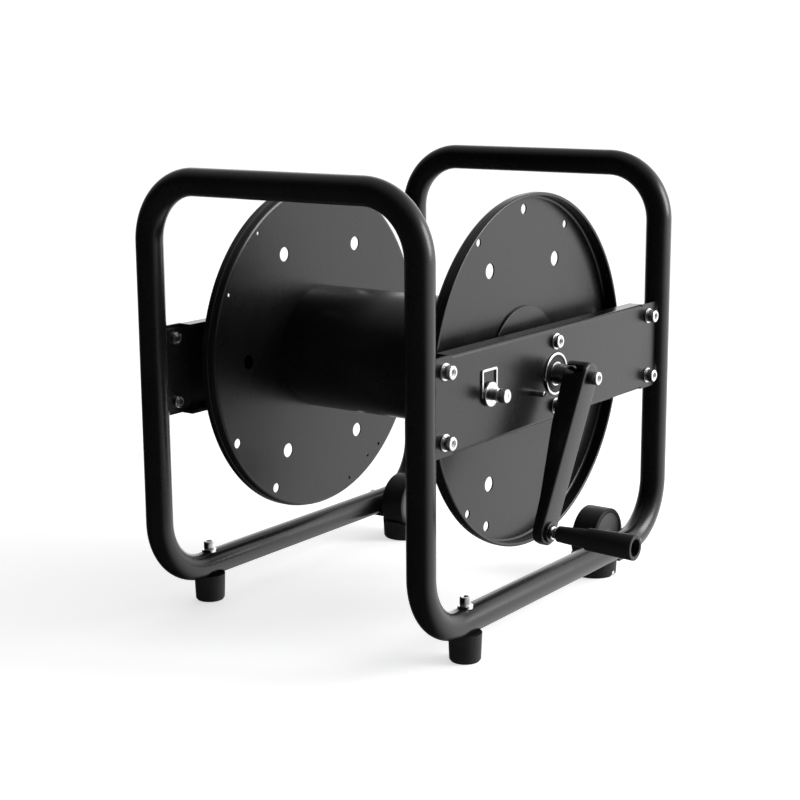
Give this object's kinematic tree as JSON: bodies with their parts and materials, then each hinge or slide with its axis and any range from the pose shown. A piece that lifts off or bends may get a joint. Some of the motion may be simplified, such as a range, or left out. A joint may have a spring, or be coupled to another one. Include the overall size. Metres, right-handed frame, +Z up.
{
  "type": "hose reel stand",
  "caption": "Black steel garden hose reel on a bent tube stand, with a dished-flange drum, a hand crank, a lock plunger, rubber feet and small rear wheels.",
  "frame": {"origin": "bottom centre of the bounding box, on the floor; the middle of the tube stand is at x = -0.0606 because the crank stands out on one side", "axes": "+X along the drum axis towards the crank, -Y towards the front, +Z up"},
  "size_m": [0.4725, 0.471, 0.452],
  "materials": {
    "black_powder_coat": "satin",
    "zinc_plated_steel": "satin",
    "machined_steel": "satin",
    "bearing_steel": "polished",
    "black_rubber": "matte",
    "tyre_rubber": "matte",
    "black_plastic": "matte",
    "grey_plastic": "matte"
  },
  "bodies": {
    "stand": {"front_hoop": "black_powder_coat", "rear_hoop": "black_powder_coat", "runner_sleeves": "machined_steel", "plate_lugs": "black_powder_coat", "right_plate": "black_powder_coat", "left_plate": "black_powder_coat", "plate_bolts": "zinc_plated_steel", "plate_washers": "zinc_plated_steel", "plate_nuts": "zinc_plated_steel", "bearing_housing_right": "machined_steel", "bearing_housing_left": "machined_steel", "housing_bolts": "zinc_plated_steel", "housing_washers": "zinc_plated_steel", "housing_nuts": "zinc_plated_steel", "bearing_outer_right": "bearing_steel", "bearing_outer_left": "bearing_steel", "bearing_balls_right": "bearing_steel", "bearing_balls_left": "bearing_steel", "bearing_seals": "black_rubber", "plunger_body": "machined_steel", "plunger_flange": "zinc_plated_steel", "lock_spring": "zinc_plated_steel", "lock_keeper": "zinc_plated_steel", "stop_pin": "zinc_plated_steel", "front_feet": "black_rubber", "front_foot_inserts": "zinc_plated_steel", "front_foot_screws": "zinc_plated_steel", "front_foot_washers": "zinc_plated_steel", "rear_feet": "black_rubber", "rear_foot_tabs": "black_powder_coat", "rear_foot_screws": "zinc_plated_steel", "axle_bolts": "zinc_plated_steel", "axle_spacers": "zinc_plated_steel", "axle_nuts": "zinc_plated_steel"},
    "drum": {"bearing_inner_rings": "bearing_steel", "shaft": "machined_steel", "shaft_clip": "machined_steel", "left_flange": "black_powder_coat", "right_flange": "black_powder_coat", "left_rim": "black_powder_coat", "right_rim": "black_powder_coat", "core_tube": "black_powder_coat", "hub_plates": "black_powder_coat", "crank_cone": "zinc_plated_steel", "crank_boss": "black_powder_coat", "crank_arm": "black_powder_coat", "crank_bolt": "zinc_plated_steel", "handle_spindle": "zinc_plated_steel", "handle_spacer": "zinc_plated_steel", "handle_nut": "zinc_plated_steel"},
    "grip": {"grip_collar": "black_plastic", "grip_sleeve": "black_plastic"},
    "plunger": {"lock_pin": "zinc_plated_steel", "lock_knob": "zinc_plated_steel"},
    "wheel_right": {"tyre_right": "tyre_rubber", "wheel_hub_right": "grey_plastic"},
    "wheel_left": {"tyre_left": "tyre_rubber", "wheel_hub_left": "grey_plastic"}
  },
  "joints": [
    {"name": "drum_spin", "type": "hinge", "parent": "stand", "child": "drum", "pos_m": [-0.0606, 0, 0.2488], "axis": [1, 0, 0], "continuous": true},
    {"name": "grip_spin", "type": "hinge", "parent": "drum", "child": "grip", "pos_m": [0.1894, -0.07586, 0.11306], "axis": [1, 0, 0], "continuous": true},
    {"name": "plunger_pull", "type": "slide", "parent": "stand", "child": "plunger", "axis": [1, 0, 0], "range_m": [0, 0.005], "stiffness_N_per_m": 600, "springref_m": -0.004, "deforming": ["lock_spring"]},
    {"name": "wheel_right_spin", "type": "hinge", "parent": "stand", "child": "wheel_right", "pos_m": [0.0659, 0.157, 0.0405], "axis": [1, 0, 0], "continuous": true},
    {"name": "wheel_left_spin", "type": "hinge", "parent": "stand", "child": "wheel_left", "pos_m": [-0.1871, 0.157, 0.0405], "axis": [1, 0, 0], "continuous": true}
  ]
}
